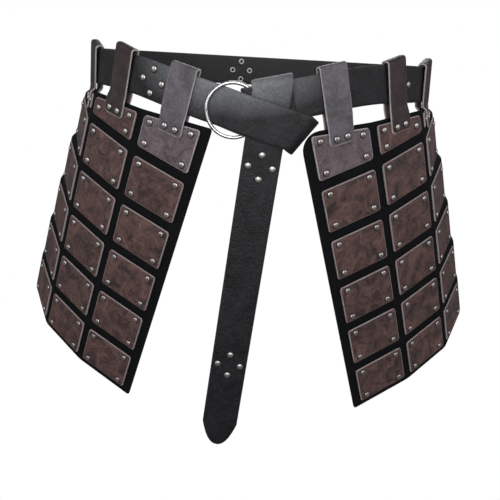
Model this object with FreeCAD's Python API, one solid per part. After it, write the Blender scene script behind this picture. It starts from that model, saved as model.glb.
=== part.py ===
import FreeCAD, Part
import math
import os

from FreeCAD import Vector

# Fauld: two tassets of riveted leather plates, hung by straps from a knotted ring belt.
# Millimetres. +Z is up, the wearer faces -Y, and the origin is the middle of the waist
# loop at the belt's mid height. Left means the side of -X.

# Waist loop from above, to the belt's outer face
LOOP_HALF_WIDTH = 196.0
LOOP_FRONT = 150.5
LOOP_BACK = 151.0
FLAT_HALF = 46.0            # half length of the flat front under the knot
FRONT_BEND_RADIUS = 70.0
FRONT_BEND_TURN = 20.0      # degrees
# Belt strap
BELT_WIDTH = 37.0
BELT_THICK = 2.8
LEFT_DIP = 15.0             # degrees that each end falls towards the ring
RIGHT_DIP = 13.0
DIP_RADIUS = 260.0
# Ring
RING_X = -22.5
RING_Z = -30.5
RING_OUTER = 54.0
RING_WIRE = 3.6
WIRE_SIDES = 8
LAYER_GAP = 0.3             # between layers of leather that can slip on each other
# Knot, in lengths along the strap from the ring's centre
EYE_END = 58.0              # end of the leather folded back round the ring
EYE_OPEN = 1.2              # the eye stays open this far past the wire
EYE_SLOPE = 7.0
EYE_SEAM = 0.15             # between the folded-back leather and the belt
JOIN_LEFT = 20.0            # each end is flat from here to the ring
JOIN_RIGHT = 56.0
RAMP_START = -15.0
RAMP_END = 12.5
BEND_RADIUS = 6.0
LOWER_FOLD_AT = 63.5
UNDER_GAP = 1.7             # behind the belt, where the strap goes up
BETWEEN_FOLDS = 48.0
UNDER_TURN = 122.0          # degrees from level, the strap's way up behind the belt
TAIL_LEAN = 5.6             # degrees, the tail's foot towards the left
# Tail
TAIL_JOINT_DROP = 60.5      # upper fold to the bend that the tail swings on
TAIL_LENGTH = 322.0
TAIL_POINT = 27.0
TIP_BREADTH_SHARE = 0.68    # of the half width and of the point, where its curve passes
TIP_DROP_SHARE = 0.62
TAIL_JOINT_GAP = 0.3
# Sheet of plates
ROWS = 6
COLUMNS = 3
ROW_PITCH = 58.0
ORIGIN_ROW = ROWS // 2      # the row whose middle is the sheet's origin
PLATE_WIDTH = 64.0
PLATE_HEIGHT = 47.0
PLATE_THICK = 2.4
PLATE_CORNER = 6.0
PLATE_BEVEL = 0.9
COLUMN_GAP = 10.2
MIDDLE_BEND = 12.1          # degrees between the front and middle columns
REAR_BENDS = (37.0, 31.5, 27.5, 25.0, 23.0, 22.0)  # and to the rear one, top row first
BACKING_THICK = 2.6
SIDE_MARGIN = 10.0
FOOT_MARGIN = 7.5
HEAD_MARGIN = 4.0
BACKING_CORNER = 9.0
FRONT_TOP_CORNER = 22.0     # cut back to clear the knot
REAR_TOP_CORNER = 3.0
CREASE = 2.4                # height over which the rear bend changes between two rows
TOP_SLOPE = 11.6            # degrees between the rows and the top edge
REAR_TOP_SLOPE = 16.0       # the same on the rear column
TOP_OVER_ROW = 20.6         # top row's middle up to the top edge, front column
# Middle of the front column's fourth plate on the left, and how it faces
SHEET_X = -132.0
SHEET_Y = -99.3
SHEET_Z = -225.1
SHEET_FACING = 27.2         # degrees from straight ahead
SHEET_TILT = 3.9            # degrees that it faces down
SHEET_LEAN = 19.7           # degrees that the rows fall towards the front
# Rivets
RIVET_X = 23.7              # from a plate's middle
RIVET_Y = 17.4
RIVET_INSET = 6.2           # from a cut edge
SHORT_END = 5.0             # least height that a plate is cut down to
SHORT_CORNER = 2.0
RIVET_HEAD = 6.4
RIVET_DOME = 1.7
RIVET_CROWN = 3.6
RIVET_SIDES = 8
BURR_DIAMETER = 5.0
BURR_THICK = 0.8
BURR_SIDES = 4
CURVE_SEAT = 0.05           # the burr's middle stands off the belt's hollow side
# Hanger straps
HANGER_WIDTH = 28.0
HANGER_THICK = 2.2
HANGER_OVERLAPS = (15.5, 15.5, 20.5)  # on the sheet, front hanger first
HANGER_CORNER = 5.0
HANGER_TURN = 5.0           # degrees in the sheet, from the column towards upright
HANGER_SLACK = 0.8          # round the belt
HANGER_BEND = 1.6
HANGER_RISE = 0.6           # the straight ends reach this far past the sheet's edge
HANGER_RIVET_DROP = 9.0
HANGER_RIVET_HALF = 6.2
# Diamonds of four rivets along the strap
DIAMOND_HALF = 11.7
DIAMOND_PITCH = 210.0
FIRST_DIAMOND = 106.5       # along the loop from the front's middle
LOOP_DIAMONDS = 4
LONE_RIVET_AT = 171.0       # rear rivet of the diamond that a hanger on the right covers
TAIL_DIAMONDS = (15.0, 225.0)  # along the tail from its bend
EYE_RIVET_AT = 45.0
EYE_RIVET_HALF = 9.0

STEPS = 8                   # of the searches for where a hanger meets the belt
FINE = 0.05

X = Vector(1, 0, 0)
Y = Vector(0, 1, 0)
Z = Vector(0, 0, 1)
HALF_BELT = BELT_WIDTH / 2
WIRE_CIRCLE = (RING_OUTER - RING_WIRE) / 2
EYE_HALF = RING_WIRE / 2 + LAYER_GAP
# Middle depths of the strap's layers at the knot
FACE = -LOOP_FRONT
MAIN_Y = FACE + BELT_THICK / 2
RING_Y = FACE - EYE_HALF
EYE_Y = FACE - 2 * EYE_HALF - BELT_THICK / 2
SEAM_Y = FACE - EYE_SEAM - BELT_THICK / 2
WRAP_Y = EYE_Y - BELT_THICK - LAYER_GAP
DIAGONAL_Y = WRAP_Y - BELT_THICK - LAYER_GAP
UNDER_Y = MAIN_Y + BELT_THICK + UNDER_GAP


def rad(degrees):
    return math.radians(degrees)


def heading(degrees):
    """Unit vector in the front view, from level."""
    return Vector(math.cos(rad(degrees)), 0, math.sin(rad(degrees)))


def frame(origin, x_axis, y_axis):
    """Matrix that carries local X and Y onto two square unit vectors at a point."""
    z_axis = x_axis.cross(y_axis)
    return FreeCAD.Matrix(
        x_axis.x, y_axis.x, z_axis.x, origin.x,
        x_axis.y, y_axis.y, z_axis.y, origin.y,
        x_axis.z, y_axis.z, z_axis.z, origin.z,
        0, 0, 0, 1)


def put(shape, matrix):
    moved = shape.copy()
    moved.Placement = FreeCAD.Placement(matrix).multiply(moved.Placement)
    return moved


def mirrored(shape):
    return shape.mirror(Vector(0, 0, 0), X)


def joined(shapes):
    return shapes[0].fuse(shapes[1:]).removeSplitter()


def save(name, *shapes):
    solids = [solid for shape in shapes for solid in shape.Solids]
    shape = solids[0] if len(solids) == 1 else Part.makeCompound(solids)
    shape.exportStep("parts/%s.step" % name)


def arc(start, middle, end):
    return Part.Arc(start, middle, end).toShape()


def strip_face(points, radius, thick):
    """Long section of a bent strap: a centre line with round bends, given a thickness."""
    line = [Vector(x, y, 0) for x, y in points]
    half = thick / 2
    outline = []
    caps = {1: [], -1: []}
    for side in (1, -1):
        last = None
        for i, point in enumerate(line):
            before = (point - line[i - 1]).normalize() if i else None
            after = (line[i + 1] - point).normalize() if i + 1 < len(line) else None
            if before is None or after is None:
                step = before or after
                here = point + Vector(-step.y, step.x, 0) * half * side
                if last and (here - last).Length > 1e-6:
                    outline.append(Part.makeLine(last, here))
                caps[side].append(here)
                last = here
                continue
            turn = math.atan2(before.cross(after).z, before.dot(after))
            sign = math.copysign(1, turn)
            reach = radius * math.tan(abs(turn) / 2)
            centre = point - before * reach + Vector(-before.y, before.x, 0) * radius * sign
            size = radius - half * side * sign
            first = centre + Vector(before.y, -before.x, 0) * size * sign
            final = centre + Vector(after.y, -after.x, 0) * size * sign
            middle = centre + (point - centre).normalize() * size
            if (first - last).Length > 1e-6:
                outline.append(Part.makeLine(last, first))
            outline.append(arc(first, middle, final))
            last = final
    outline += [Part.makeLine(a, b) for a, b in zip(caps[1], caps[-1])]
    return Part.Face(Part.Wire(Part.__sortEdges__(outline)))


def rounded_plate(corners, thick, radius, bevel):
    """Flat plate on z = 0 with a bevelled rim, its corners rounded off in two flats."""
    points = []
    for i, corner in enumerate(corners):
        here = Vector(corner[0], corner[1], 0)
        last, following = corners[i - 1], corners[(i + 1) % len(corners)]
        back = (Vector(last[0], last[1], 0) - here).normalize()
        on = (Vector(following[0], following[1], 0) - here).normalize()
        half = back.getAngle(on) / 2
        reach = radius / math.tan(half)
        middle = here + (back + on).normalize() * (radius / math.sin(half) - radius)
        points += [here + back * reach, middle, here + on * reach]
    solid = Part.Face(Part.makePolygon(points + points[:1])).extrude(Z * thick)
    rim = [e for e in solid.Edges if all(abs(v.Z - thick) < 1e-6 for v in e.Vertexes)]
    return solid.makeChamfer(bevel, rim)


def many_sided(sides, diameter, height):
    """Closed list of the corners of a regular polygon."""
    corners = [heading(360 * (i + 0.5) / sides) * (diameter / 2) for i in range(sides + 1)]
    return [Vector(c.x, c.z, height) for c in corners]


def rivet(grip):
    """Rivet about local z: its head stands on z = 0, its burr lies behind the leather's grip."""
    foot = many_sided(RIVET_SIDES, RIVET_HEAD, 0)
    crown = many_sided(RIVET_SIDES, RIVET_CROWN, RIVET_DOME)
    outlines = [foot, crown]
    for i in range(RIVET_SIDES):
        outlines.append([foot[i], foot[i + 1], crown[i + 1], crown[i], foot[i]])
    faces = [Part.Face(Part.makePolygon(outline)) for outline in outlines]
    head = Part.makeSolid(Part.makeShell(faces))
    if head.Volume < 0:
        head.reverse()
    burr = Part.Face(Part.makePolygon(many_sided(BURR_SIDES, BURR_DIAMETER, -grip)))
    return Part.makeCompound([head, burr.extrude(Z * -BURR_THICK)])


# Waist loop

def side_arc():
    """Centre and radius of the long arc between the front bend and the widest point."""
    turn = rad(FRONT_BEND_TURN)
    x = FLAT_HALF + FRONT_BEND_RADIUS * math.sin(turn)
    y = FACE + FRONT_BEND_RADIUS * (1 - math.cos(turn))
    radius = (LOOP_HALF_WIDTH - x) / (1 - math.sin(turn))
    return LOOP_HALF_WIDTH - radius, y + radius * math.cos(turn), radius


def bend_point(centre_x, centre_y, radius, angle, side):
    x = centre_x + radius * math.sin(angle)
    return Vector(side * x, centre_y - radius * math.cos(angle), 0)


def loop_face(inset):
    """All inside the loop's outer face, drawn in by the inset."""
    centre_x, centre_y, radius = side_arc()
    turn = rad(FRONT_BEND_TURN)
    bends = ((FLAT_HALF, FACE + FRONT_BEND_RADIUS, FRONT_BEND_RADIUS - inset, 0, turn),
             (centre_x, centre_y, radius - inset, turn, math.pi / 2))
    edges = [Part.makeLine(Vector(-FLAT_HALF, FACE + inset, 0),
                           Vector(FLAT_HALF, FACE + inset, 0))]
    for side in (1, -1):
        for x, y, size, start, end in bends:
            edges.append(arc(*[bend_point(x, y, size, angle, side)
                               for angle in (start, (start + end) / 2, end)]))
    back = Part.Ellipse(Vector(0, centre_y, 0), LOOP_HALF_WIDTH - inset,
                        LOOP_BACK - centre_y - inset)
    edges.append(Part.Arc(back, 0, math.pi).toShape())
    return Part.Face(Part.Wire(Part.__sortEdges__(edges)))


def loop_point(length):
    """Point and outward normal on the loop's outer face, by length from the front's middle."""
    side = math.copysign(1, length)
    length = abs(length)
    centre_x, centre_y, radius = side_arc()
    turn = rad(FRONT_BEND_TURN)
    bend = FRONT_BEND_RADIUS * turn
    if length < FLAT_HALF:
        return Vector(side * length, FACE, 0), Vector(0, -1, 0)
    length -= FLAT_HALF
    if length < bend:
        angle = length / FRONT_BEND_RADIUS
        point = bend_point(FLAT_HALF, FACE + FRONT_BEND_RADIUS, FRONT_BEND_RADIUS, angle, side)
        return point, Vector(side * math.sin(angle), -math.cos(angle), 0)
    length -= bend
    if length < radius * (math.pi / 2 - turn):
        angle = turn + length / radius
        point = bend_point(centre_x, centre_y, radius, angle, side)
        return point, Vector(side * math.sin(angle), -math.cos(angle), 0)
    length -= radius * (math.pi / 2 - turn)
    wide, deep = LOOP_HALF_WIDTH, LOOP_BACK - centre_y
    back = Part.Ellipse(Vector(0, centre_y, 0), wide, deep)
    point = back.value(back.parameterAtDistance(length, 0)) - Vector(0, centre_y, 0)
    normal = Vector(side * point.x / wide ** 2, point.y / deep ** 2, 0).normalize()
    return Vector(side * point.x, point.y + centre_y, 0), normal


def dip_start(side):
    """Distance from the middle at which one end of the belt starts to fall."""
    dip = LEFT_DIP if side < 0 else RIGHT_DIP
    return side * RING_X - RING_Z / math.tan(rad(dip))


def belt_height(x):
    """Height of the belt's middle, and its slope, at x on the front half."""
    side = math.copysign(1, x)
    dip = rad(LEFT_DIP if x < 0 else RIGHT_DIP)
    inward = dip_start(side) - abs(x)
    reach = DIP_RADIUS * math.tan(dip / 2)
    if inward < -reach:
        return 0.0, 0.0
    if inward < reach * math.cos(dip):
        run = inward + reach
        fall = math.sqrt(DIP_RADIUS ** 2 - run ** 2)
        return fall - DIP_RADIUS, side * run / fall
    return -inward * math.tan(dip), side * math.tan(dip)


def belt_band(side, length_left):
    """One front quarter of the loop, cut to the strap's level and falling run."""
    dip = LEFT_DIP if side < 0 else RIGHT_DIP
    start = dip_start(side)
    run = (start - side * RING_X) / math.cos(rad(dip)) - length_left
    far = LOOP_HALF_WIDTH + BELT_WIDTH
    path = [(side * far, 0), (side * start, 0),
            (side * (start - run * math.cos(rad(dip))), -run * math.sin(rad(dip)))]
    face = strip_face(path, DIP_RADIUS, BELT_WIDTH)
    return put(face.extrude(Vector(0, 0, LOOP_FRONT * 1.5)), frame(Vector(0, 0, 0), X, Z))


def across(angle, y=0.0):
    """Frame at the ring's centre: X along the strap, Y into the body, Z across the strap."""
    return frame(Vector(RING_X, y, RING_Z), heading(angle), Y)


def strap_run(path, radius, matrix, width=BELT_WIDTH):
    """Bent length of strap, its section extruded to the strap's width."""
    solid = strip_face(path, radius, BELT_THICK).extrude(Vector(0, 0, width))
    solid.translate(Vector(0, 0, -width / 2))
    return put(solid, matrix)


def fold(at, axis_angle, front_y, back_y, strap_angle):
    """Half-round turn of the strap over a slanted axis, and the two ends of that axis."""
    axis = heading(axis_angle)
    width = BELT_WIDTH / abs(math.sin(rad(axis_angle - strap_angle)))
    radius = (back_y - front_y) / 2
    out = Y.cross(axis) if strap_angle < axis_angle else axis.cross(Y)
    path = [(0, front_y), (radius, front_y), (radius, back_y), (0, back_y)]
    solid = strap_run(path, radius, frame(Vector(at.x, 0, at.z), out, Y), width)
    return solid, at + axis * (width / 2), at - axis * (width / 2)


def flat_layer(corners, mid_y):
    """Flat piece of strap between corners given in the front view."""
    ring = [Vector(c.x, mid_y - BELT_THICK / 2, c.z) for c in corners]
    face = Part.Face(Part.makePolygon(ring + ring[:1]))
    return face.extrude(Y * BELT_THICK)


def knot_places():
    """Middles of both folds and of the tail's bend, in the front view."""
    centre = Vector(RING_X, 0, RING_Z)
    lower = centre + heading(-LEFT_DIP) * LOWER_FOLD_AT
    upper = lower + heading(UNDER_TURN) * BETWEEN_FOLDS
    joint = upper + heading(-90 - TAIL_LEAN) * TAIL_JOINT_DROP
    return lower, upper, joint


def belt_strap():
    """The strap from its eye round the waist, through the ring and over the knot."""
    shell = loop_face(0).cut(loop_face(BELT_THICK))
    tall = shell.extrude(Vector(0, 0, LOOP_FRONT))
    tall.translate(Vector(0, 0, -LOOP_FRONT / 2))
    back = Part.makeBox(3 * LOOP_HALF_WIDTH, 2 * LOOP_BACK, BELT_WIDTH,
                        Vector(-1.5 * LOOP_HALF_WIDTH, 0, -HALF_BELT))
    pieces = [tall.common(back), tall.common(belt_band(-1, JOIN_LEFT)),
              tall.common(belt_band(1, JOIN_RIGHT))]

    # the right end, folded back round the ring
    reach = math.sqrt(WIRE_CIRCLE ** 2 - HALF_BELT ** 2)
    tip = reach - RING_WIRE / 2 * WIRE_CIRCLE / reach - LAYER_GAP - BELT_THICK / 2
    open_end = WIRE_CIRCLE + RING_WIRE / 2 + EYE_OPEN
    path = [(JOIN_RIGHT, MAIN_Y), (tip, MAIN_Y), (tip, EYE_Y), (open_end, EYE_Y),
            (open_end + EYE_SLOPE, SEAM_Y), (EYE_END, SEAM_Y)]
    pieces.append(strap_run(path, (MAIN_Y - EYE_Y) / 2, across(RIGHT_DIP)))

    # the left end, up through the ring and down to the lower fold
    lower, upper, joint = knot_places()
    lower_axis = (UNDER_TURN - LEFT_DIP) / 2
    upper_axis = (UNDER_TURN - 90 - TAIL_LEAN) / 2
    turn, p_top, p_low = fold(lower, lower_axis, DIAGONAL_Y, UNDER_Y, -LEFT_DIP)
    path = [(-JOIN_LEFT, MAIN_Y), (RAMP_START, MAIN_Y), (RAMP_END, DIAGONAL_Y),
            (LOWER_FOLD_AT + BELT_WIDTH, DIAGONAL_Y)]
    diagonal = strap_run(path, BEND_RADIUS, across(-LEFT_DIP))
    beyond = Part.makeBox(BELT_WIDTH * 3, LOOP_FRONT * 2, BELT_WIDTH * 4,
                          Vector(0, -LOOP_FRONT * 2, -BELT_WIDTH * 2))
    away = heading(lower_axis - 90)
    pieces += [diagonal.cut(put(beyond, frame(lower, away, Y))), turn]

    # up behind the belt, over its top edge and down to the tail
    turn, q_right, q_left = fold(upper, upper_axis, WRAP_Y, UNDER_Y, UNDER_TURN)
    pieces += [flat_layer([p_top, p_low, q_left, q_right], UNDER_Y), turn]
    side = heading(-TAIL_LEAN) * HALF_BELT
    foot = joint + heading(90 - TAIL_LEAN) * (BELT_THICK / 2 + TAIL_JOINT_GAP)
    pieces.append(flat_layer([q_left, q_right, foot + side, foot - side], WRAP_Y))
    return joined(pieces)


def belt_tail():
    """Hanging end of the strap, from its bend to a rounded point, in its own frame."""
    end = -TAIL_LENGTH
    start = end + TAIL_POINT
    edges = [Part.makeLine(Vector(-HALF_BELT, 0, 0), Vector(HALF_BELT, 0, 0)),
             Part.makeLine(Vector(HALF_BELT, 0, 0), Vector(HALF_BELT, start, 0)),
             Part.makeLine(Vector(-HALF_BELT, start, 0), Vector(-HALF_BELT, 0, 0))]
    tip = Vector(0, end, 0)
    for side in (1, -1):
        belly = Vector(side * HALF_BELT * TIP_BREADTH_SHARE, start - TAIL_POINT * TIP_DROP_SHARE, 0)
        edges.append(arc(Vector(side * HALF_BELT, start, 0), belly, tip))
    blade = Part.Face(Part.Wire(Part.__sortEdges__(edges))).extrude(Vector(0, 0, BELT_THICK))
    blade.translate(Vector(0, 0, -BELT_THICK / 2))
    roll = Part.makeCylinder(BELT_THICK / 2, BELT_WIDTH, Vector(-HALF_BELT, 0, 0), X)
    return joined([blade, roll])


def tail_frame():
    """Frame of the tail: X across, Y up along it, Z towards the front."""
    joint = knot_places()[2]
    return frame(Vector(joint.x, WRAP_Y, joint.z), heading(-TAIL_LEAN), heading(90 - TAIL_LEAN))


def diamond(matrix, grip):
    """Four rivets set as a diamond on a face whose frame has Z outwards."""
    corners = ((DIAMOND_HALF, 0), (0, DIAMOND_HALF), (-DIAMOND_HALF, 0), (0, -DIAMOND_HALF))
    return [put(put(rivet(grip), frame(Vector(x, y, 0), X, Y)), matrix) for x, y in corners]


def loop_diamonds():
    """Diamonds round the loop. Each rivet stands square to the belt at its own place."""
    rivets = []
    for i in range(LOOP_DIAMONDS):
        middle = -FIRST_DIAMOND - i * DIAMOND_PITCH
        point, out = loop_place(middle)
        height, slope = belt_height(point.x) if point.y < 0 else (0.0, 0.0)
        level = Vector(1, slope * Z.cross(out).x, 0).normalize() * DIAMOND_HALF
        for along, up in ((level.x, level.y), (-level.y, level.x),
                          (-level.x, -level.y), (level.y, -level.x)):
            rivets.append(loop_rivet(middle + along, height + up))
    rivets.append(loop_rivet(LONE_RIVET_AT, 0))
    return rivets


def loop_rivet(length, height):
    point, out = loop_place(length)
    seat = frame(point + Z * height, Z.cross(out), Z)
    return put(rivet(BELT_THICK + CURVE_SEAT), seat)


def loop_place(length):
    """Like loop_point, for a length that may pass the back's middle."""
    half = loop_length() / 2
    if length < -half:
        length += 2 * half
    return loop_point(length)


def loop_length():
    return loop_face(0).OuterWire.Length


# Sheet of plates, modelled on the left and mirrored

def sheet_frame():
    """Frame on the front column: X towards the front's middle, Y up it, Z outwards."""
    facing, tilt, lean = rad(SHEET_FACING), rad(SHEET_TILT), rad(SHEET_LEAN)
    out = Vector(-math.sin(facing) * math.cos(tilt), -math.cos(facing) * math.cos(tilt),
                 -math.sin(tilt))
    steep = (Z - out * Z.dot(out)).normalize()
    level = steep.cross(out)
    along = level * math.cos(lean) - steep * math.sin(lean)
    up = steep * math.cos(lean) + level * math.sin(lean)
    return frame(Vector(SHEET_X, SHEET_Y, SHEET_Z), along, up)


def column_middle(column, row=0):
    """Middle of a column in the sheet's section, and the angle that it has turned back.

    The rear column closes in towards the waist, so its bend differs from row to row.
    """
    place = Vector(0, 0, 0)
    turned = 0.0
    for bend in (MIDDLE_BEND, REAR_BENDS[row])[:column]:
        place += Vector(-math.cos(turned), 0, -math.sin(turned)) * (PLATE_WIDTH / 2)
        chord = 2 * COLUMN_GAP / rad(bend) * math.sin(rad(bend) / 2)
        turned += rad(bend) / 2
        place += Vector(-math.cos(turned), 0, -math.sin(turned)) * chord
        turned += rad(bend) / 2
        place += Vector(-math.cos(turned), 0, -math.sin(turned)) * (PLATE_WIDTH / 2)
    return place, turned


def row_middle(row):
    return (ORIGIN_ROW - row) * ROW_PITCH


def top_height():
    """Height of the top edge over the sheet's origin, at the front column's middle."""
    return row_middle(0) + TOP_OVER_ROW


def column_frame(column, row=0):
    """Frame of a plate's middle, relative to the sheet's frame."""
    place, turned = column_middle(column, row)
    place.y = row_middle(row)
    return frame(place, Vector(math.cos(turned), 0, math.sin(turned)), Y)


def top_edge(column):
    """Height of the sheet's top edge over the fourth row at a column, and its slope there."""
    slope = math.tan(rad(TOP_SLOPE))
    if column == COLUMNS - 1:
        steep = math.tan(rad(REAR_TOP_SLOPE))
        start = column_frame(column).multVec(X * (PLATE_WIDTH / 2))
        return top_height() + slope * start.x - steep * PLATE_WIDTH / 2, steep
    place, turned = column_middle(column)
    return top_height() + slope * place.x, slope * math.cos(turned)


def backing_side(depth, row):
    """One face of the bent backing in section, from the front end to the rear end."""
    half = PLATE_WIDTH / 2
    edges = []
    last = Vector(half + SIDE_MARGIN, 0, depth)
    for column in range(COLUMNS):
        place, turned = column_middle(column, row)
        along = Vector(math.cos(turned), 0, math.sin(turned))
        out = Vector(-math.sin(turned), 0, math.cos(turned))
        if column:
            bend = rad((MIDDLE_BEND, REAR_BENDS[row])[column - 1])
            size = COLUMN_GAP / bend + depth
            start = place + along * half + out * depth
            lean = turned - bend / 2
            belly = start - out * size + Vector(-math.sin(lean), 0, math.cos(lean)) * size
            edges.append(arc(last, belly, start))
            last = start
        reach = half + SIDE_MARGIN if column == COLUMNS - 1 else half
        end = place - along * reach + out * depth
        edges.append(Part.makeLine(last, end))
        last = end
    return edges, last


def backing_section(row, height):
    outer, outer_end = backing_side(0, row)
    inner, inner_end = backing_side(-BACKING_THICK, row)
    front = Vector(PLATE_WIDTH / 2 + SIDE_MARGIN, 0, 0)
    rear_edge = Part.makeLine(outer_end, inner_end)
    front_edge = Part.makeLine(front - Z * BACKING_THICK, front)
    section = Part.Wire(outer + [rear_edge] + inner[::-1] + [front_edge])
    section.translate(Vector(0, height, 0))
    return section


def tilted(direction, degrees):
    turn = FreeCAD.Rotation(Z, degrees)
    return turn.multVec(direction)


def backing():
    """One piece, bent in the gaps between columns, and flat behind each plate."""
    foot = -PLATE_HEIGHT / 2 - FOOT_MARGIN
    head = top_height() + BELT_WIDTH
    sections = []
    for row in range(ROWS - 1, -1, -1):
        low = foot if row == ROWS - 1 else PLATE_HEIGHT / 2 + CREASE - ROW_PITCH
        sections.append(backing_section(row, row_middle(row) + low))
        high = row_middle(row) + PLATE_HEIGHT / 2 if row else head
        sections.append(backing_section(row, high))
    sheet = Part.makeLoft(sections, True, True)
    span = COLUMNS * ROW_PITCH * 2
    over = Part.makeBox(2 * span, span, 2 * span, Vector(-span, 0, -span))
    above = put(over, frame(Y * top_height(), tilted(X, TOP_SLOPE), tilted(Y, TOP_SLOPE)))
    rear_height = top_edge(COLUMNS - 1)[0] - row_middle(0)
    rear = frame(Y * rear_height, tilted(X, REAR_TOP_SLOPE), tilted(Y, REAR_TOP_SLOPE))
    sheet = sheet.cut(above).cut(put(over, column_frame(COLUMNS - 1).multiply(rear)))
    ends = []
    for edge in sheet.Edges:
        if abs(edge.Length - BACKING_THICK) > 1e-3:
            continue
        neighbours = [f for f in sheet.Faces if any(e.isSame(edge) for e in f.Edges)]
        normals = [f.normalAt(*f.Surface.parameter(edge.CenterOfMass)) for f in neighbours]
        if abs(normals[0].dot(normals[1])) < 0.5:
            ends.append(edge)
    places = [e.CenterOfMass for e in ends]
    for place in places:
        radius = BACKING_CORNER
        if place.y > 0:
            radius = FRONT_TOP_CORNER if place.x > 0 else REAR_TOP_CORNER
        edge = min(sheet.Edges, key=lambda e: (e.CenterOfMass - place).Length)
        sheet = sheet.makeFillet(radius, [edge])
    return sheet


def plate_outline(column, row):
    """Corners of a plate about its row's middle. The top row follows the sheet's top edge."""
    half, low, high = PLATE_WIDTH / 2, -PLATE_HEIGHT / 2, PLATE_HEIGHT / 2
    corners = [(-half, low), (half, low), (half, high), (-half, high)]
    if row:
        return corners
    height, slope = top_edge(column)
    height -= HEAD_MARGIN + row_middle(row)
    rear = max(-half, (low + SHORT_END - height) / slope)
    return [(rear, low), (half, low), (half, min(high, height + slope * half)),
            (rear, height + slope * rear)]


def plate_rivets(column, row):
    """Places of a plate's rivets about its row's middle."""
    corners = plate_outline(column, row)
    rear, front = corners[3], corners[2]
    slope = (front[1] - rear[1]) / (front[0] - rear[0])
    places = []
    for x in (-RIVET_X, RIVET_X):
        upper = front[1] - slope * (front[0] - x) - RIVET_INSET
        if x < rear[0]:
            continue
        if upper > -RIVET_Y + RIVET_HEAD * 1.5:
            places += [(x, -RIVET_Y), (x, upper)]
        else:
            places.append((x, (upper - RIVET_Y) / 2))
    return places


def hanger_frame(column):
    """Frame of a hanger's lower end: on the backing's face at the top edge, Y up the strap."""
    matrix = sheet_frame().multiply(column_frame(column))
    origin = matrix.multVec(Vector(0, top_edge(column)[0] - row_middle(0), 0))
    spin = FreeCAD.Matrix()
    spin.rotateZ(rad(HANGER_TURN))
    turned = matrix.multiply(spin)
    base = turned.multVec(Vector(0, 0, 0))
    return frame(origin, turned.multVec(X) - base, turned.multVec(Y) - base)


def belt_beside(x, side):
    """Belt height and slope at x on the left. The right side's belt is given mirrored."""
    if side < 0:
        return belt_height(x)
    height, slope = belt_height(-x)
    return height, -slope


def way_to_edge(point, level, side, sign):
    """Length along a leaning line from the belt's middle to its upper or lower edge."""
    reach = HALF_BELT
    for _ in range(STEPS):
        height, slope = belt_beside((point + level * reach * sign).x, side)
        edge = height + sign * HALF_BELT * math.sqrt(1 + slope ** 2)
        reach = (edge - point.z) / level.z * sign
    return reach


def belt_crossing(matrix, side):
    """Where a hanger crosses the belt: a frame at the lower edge, X outwards and Y up the strap,
    the way up to the upper edge, and how far the belt slants and curves across the hanger.
    """
    origin = matrix.multVec(Vector(0, 0, 0))
    up = matrix.multVec(Y) - origin
    spot = origin
    for _ in range(STEPS):
        height, slope = belt_beside(spot.x, side)
        spot = origin + up * ((height - origin.z) / up.z)
    length = nearest_length(Vector(spot.x, spot.y, 0))
    point, out = loop_point(length)
    height, slope = belt_beside(point.x, side)
    point.z = height
    level = (up - out * up.dot(out)).normalize()
    above = way_to_edge(point, level, side, 1)
    below = way_to_edge(point, level, side, -1)
    half = HANGER_WIDTH / 2
    spread = half + max(above, below) * abs(level.dot(Z.cross(out)))
    flat = point - Z * point.z
    sag = max((flat - loop_point(length + end)[0]).dot(out) for end in (-spread, spread))
    edge = Vector(-out.y, out.x, slope * -out.y).normalize()
    across_strap = out.cross(level)
    skew = math.tan(min(edge.getAngle(across_strap), edge.getAngle(-across_strap)))
    return frame(point - level * below, out, level), below + above, skew * half, sag


def nearest_length(spot):
    """Length along the left of the loop at which it passes nearest to a point."""
    low, high = -loop_length() / 2, 0.0
    while high - low > FINE:
        third = (high - low) / 3
        if (loop_point(low + third)[0] - spot).Length < (loop_point(high - third)[0] - spot).Length:
            high -= third
        else:
            low += third
    return (low + high) / 2


def hanger(column, side):
    """Strap over the belt: both legs come down to the sheet, one before and one behind it."""
    lower = hanger_frame(column)
    upper, reach, skew, sag = belt_crossing(lower, side)
    half = HANGER_WIDTH / 2
    thick = HANGER_THICK / 2
    front = HANGER_SLACK + thick
    back = -BELT_THICK - sag - HANGER_SLACK - thick
    low = -skew - HANGER_SLACK
    top = reach + skew + HANGER_SLACK + thick
    path = [(front, low), (front, top), (back, top), (back, low)]
    saddle = strip_face(path, HANGER_BEND, HANGER_THICK).extrude(Vector(0, 0, HANGER_WIDTH))
    saddle.translate(Vector(0, 0, -half))
    pieces = [put(saddle, upper)]
    legs = ((front, PLATE_THICK + thick), (back, -BACKING_THICK - thick))
    for above, below in legs:
        corners = ((-half, -thick), (half, -thick), (half, thick), (-half, thick))
        ends = []
        for side, depth in corners:
            ends.append((upper.multVec(Vector(above + depth, low, -side)),
                         lower.multVec(Vector(side, HANGER_RISE, below + depth))))
        wires = [Part.makePolygon([e[i] for e in ends] + [ends[0][i]]) for i in (0, 1)]
        pieces.append(Part.makeLoft(wires, True, True))
        overlap = HANGER_OVERLAPS[column]
        tab = Part.makeBox(HANGER_WIDTH, overlap + HANGER_RISE, HANGER_THICK,
                           Vector(-half, -overlap, below - thick))
        corners = [e for e in tab.Edges if abs(e.Length - HANGER_THICK) < 1e-6
                   and e.Vertexes[0].Y < -overlap / 2]
        pieces.append(put(tab.makeFillet(HANGER_CORNER, corners), lower))
    return joined(pieces)


def hanger_rivets(column):
    grip = HANGER_THICK * 2 + PLATE_THICK + BACKING_THICK
    lower = hanger_frame(column)
    face = PLATE_THICK + HANGER_THICK
    return [put(put(rivet(grip), frame(Vector(side * HANGER_RIVET_HALF, -HANGER_RIVET_DROP, face),
                                       X, Y)), lower) for side in (-1, 1)]


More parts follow.
